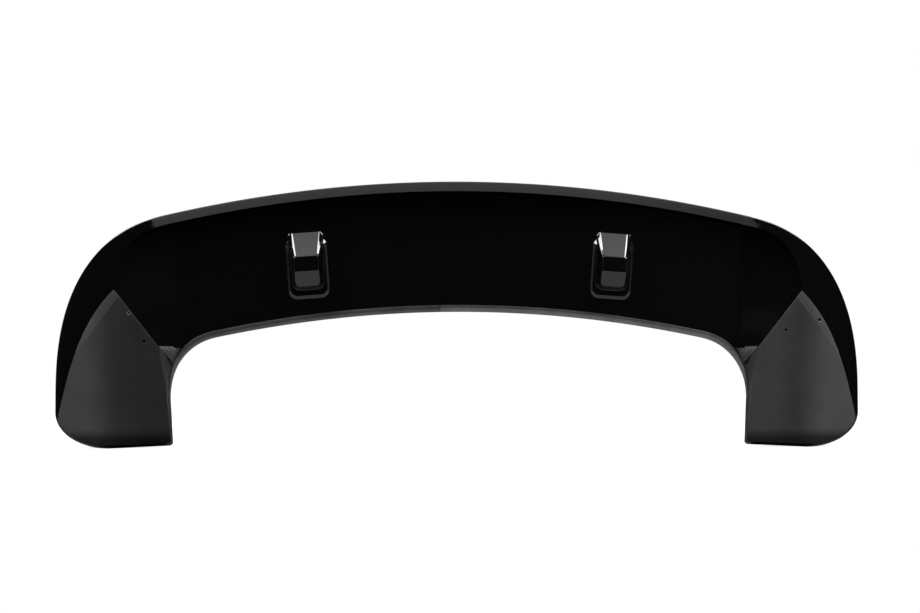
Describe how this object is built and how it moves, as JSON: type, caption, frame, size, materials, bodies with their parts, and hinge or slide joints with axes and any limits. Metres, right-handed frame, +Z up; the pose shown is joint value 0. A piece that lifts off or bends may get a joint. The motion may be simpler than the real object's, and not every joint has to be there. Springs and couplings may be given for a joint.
{
  "type": "roof spoiler",
  "caption": "Arched tailgate roof spoiler with two tapering side arms, seen from its mating side: gloss skin and panel, raised locating bosses, matt foot plates and an edge strip.",
  "frame": {"origin": "on the symmetry plane, in the seat plane that the foot plates and boss pads share, level with the ends of the arms", "axes": "+X across the car (to the right seen from the mating side), +Y rearward out of the seat plane into the spoiler, +Z up from the arm ends to the crown"},
  "size_m": [1.25, 0.15, 0.415],
  "materials": {
    "shell_gloss": "gloss black paint",
    "panel_gloss": "gloss black",
    "plate_matt": "fine-grained matt black",
    "trim_rubber": "satin dark grey"
  },
  "bodies": {
    "root": {"outer_shell": "shell_gloss", "inner_panel": "panel_gloss", "foot_plate_left": "plate_matt", "foot_plate_right": "plate_matt", "edge_trim_left": "trim_rubber", "edge_trim_right": "trim_rubber"}
  },
  "joints": []
}
